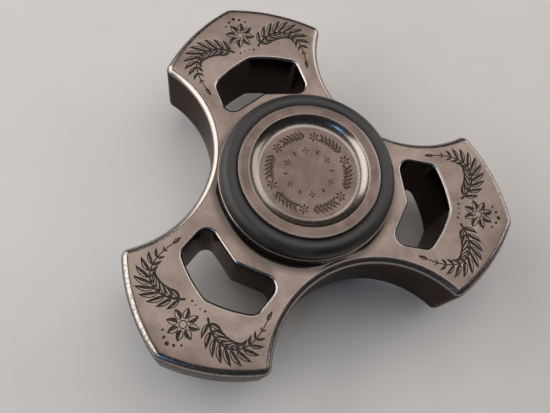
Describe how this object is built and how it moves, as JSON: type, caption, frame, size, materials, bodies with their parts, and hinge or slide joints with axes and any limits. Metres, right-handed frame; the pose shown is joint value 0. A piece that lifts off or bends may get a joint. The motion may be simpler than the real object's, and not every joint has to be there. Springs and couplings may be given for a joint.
{
  "type": "fidget spinner",
  "caption": "Three-armed steel fidget spinner that turns on a small ball bearing between two dished finger buttons with rubber rings.",
  "frame": {"origin": "centre of the bearing, on the spin axis and half way through the body", "axes": "+Z along the spin axis, out of the upper button; +Y along arm A; arms B and C follow at 120 degree steps"},
  "size_m": [0.0518, 0.0499, 0.0192],
  "materials": {
    "body_steel": "stainless steel, satin faces with a brown tarnish, polished rounded edges, dark recessed ornament",
    "button_steel": "turned stainless steel, satin rim and dish floor, polished dish wall and lip",
    "ring_rubber": "matte black nitrile rubber",
    "bearing_steel": "ground bearing steel",
    "ball_steel": "polished bearing balls",
    "cage_brass": "machined brass",
    "spring_steel": "blackened spring steel",
    "shield_steel": "pressed stainless sheet",
    "spacer_steel": "turned stainless steel",
    "stud_steel": "black oxide alloy steel"
  },
  "bodies": {
    "held_core": {"upper_button": "button_steel", "lower_button": "button_steel", "upper_button_ring": "ring_rubber", "lower_button_ring": "ring_rubber", "upper_spacer": "spacer_steel", "lower_spacer": "spacer_steel", "button_stud": "stud_steel", "bearing_inner_race": "bearing_steel"},
    "spinner": {"spinner_body": "body_steel", "bearing_outer_race": "bearing_steel", "bearing_snap_ring": "spring_steel", "upper_shield": "shield_steel", "lower_shield": "shield_steel", "upper_shield_clip": "spring_steel", "lower_shield_clip": "spring_steel"},
    "ball_cage": {"bearing_cage": "cage_brass"},
    "ball_01": {"bearing_ball_01": "ball_steel"},
    "ball_02": {"bearing_ball_02": "ball_steel"},
    "ball_03": {"bearing_ball_03": "ball_steel"},
    "ball_04": {"bearing_ball_04": "ball_steel"},
    "ball_05": {"bearing_ball_05": "ball_steel"},
    "ball_06": {"bearing_ball_06": "ball_steel"},
    "ball_07": {"bearing_ball_07": "ball_steel"},
    "ball_08": {"bearing_ball_08": "ball_steel"},
    "ball_09": {"bearing_ball_09": "ball_steel"},
    "ball_10": {"bearing_ball_10": "ball_steel"}
  },
  "joints": [
    {"name": "spin", "type": "hinge", "parent": "held_core", "child": "spinner", "pos_m": [0, 0, 0], "axis": [0, 0, 1], "continuous": true},
    {"name": "cage_orbit", "type": "hinge", "parent": "held_core", "child": "ball_cage", "pos_m": [0, 0, 0], "axis": [0, 0, 1], "continuous": true},
    {"name": "ball_roll_01", "type": "hinge", "parent": "ball_cage", "child": "ball_01", "pos_m": [0.00476, 0, 0], "axis": [0, 0, 1], "continuous": true},
    {"name": "ball_roll_02", "type": "hinge", "parent": "ball_cage", "child": "ball_02", "pos_m": [0.00385, 0.0028, 0], "axis": [0, 0, 1], "continuous": true},
    {"name": "ball_roll_03", "type": "hinge", "parent": "ball_cage", "child": "ball_03", "pos_m": [0.00147, 0.00453, 0], "axis": [0, 0, 1], "continuous": true},
    {"name": "ball_roll_04", "type": "hinge", "parent": "ball_cage", "child": "ball_04", "pos_m": [-0.00147, 0.00453, 0], "axis": [0, 0, 1], "continuous": true},
    {"name": "ball_roll_05", "type": "hinge", "parent": "ball_cage", "child": "ball_05", "pos_m": [-0.00385, 0.0028, 0], "axis": [0, 0, 1], "continuous": true},
    {"name": "ball_roll_06", "type": "hinge", "parent": "ball_cage", "child": "ball_06", "pos_m": [-0.00476, 0, 0], "axis": [0, 0, 1], "continuous": true},
    {"name": "ball_roll_07", "type": "hinge", "parent": "ball_cage", "child": "ball_07", "pos_m": [-0.00385, -0.0028, 0], "axis": [0, 0, 1], "continuous": true},
    {"name": "ball_roll_08", "type": "hinge", "parent": "ball_cage", "child": "ball_08", "pos_m": [-0.00147, -0.00453, 0], "axis": [0, 0, 1], "continuous": true},
    {"name": "ball_roll_09", "type": "hinge", "parent": "ball_cage", "child": "ball_09", "pos_m": [0.00147, -0.00453, 0], "axis": [0, 0, 1], "continuous": true},
    {"name": "ball_roll_10", "type": "hinge", "parent": "ball_cage", "child": "ball_10", "pos_m": [0.00385, -0.0028, 0], "axis": [0, 0, 1], "continuous": true}
  ],
  "couplings": [
    {"joint": "cage_orbit", "follows": "spin", "ratio": 0.58333},
    {"joint": "ball_roll_01", "follows": "spin", "ratio": 2.9167},
    {"joint": "ball_roll_02", "follows": "spin", "ratio": 2.9167},
    {"joint": "ball_roll_03", "follows": "spin", "ratio": 2.9167},
    {"joint": "ball_roll_04", "follows": "spin", "ratio": 2.9167},
    {"joint": "ball_roll_05", "follows": "spin", "ratio": 2.9167},
    {"joint": "ball_roll_06", "follows": "spin", "ratio": 2.9167},
    {"joint": "ball_roll_07", "follows": "spin", "ratio": 2.9167},
    {"joint": "ball_roll_08", "follows": "spin", "ratio": 2.9167},
    {"joint": "ball_roll_09", "follows": "spin", "ratio": 2.9167},
    {"joint": "ball_roll_10", "follows": "spin", "ratio": 2.9167}
  ]
}
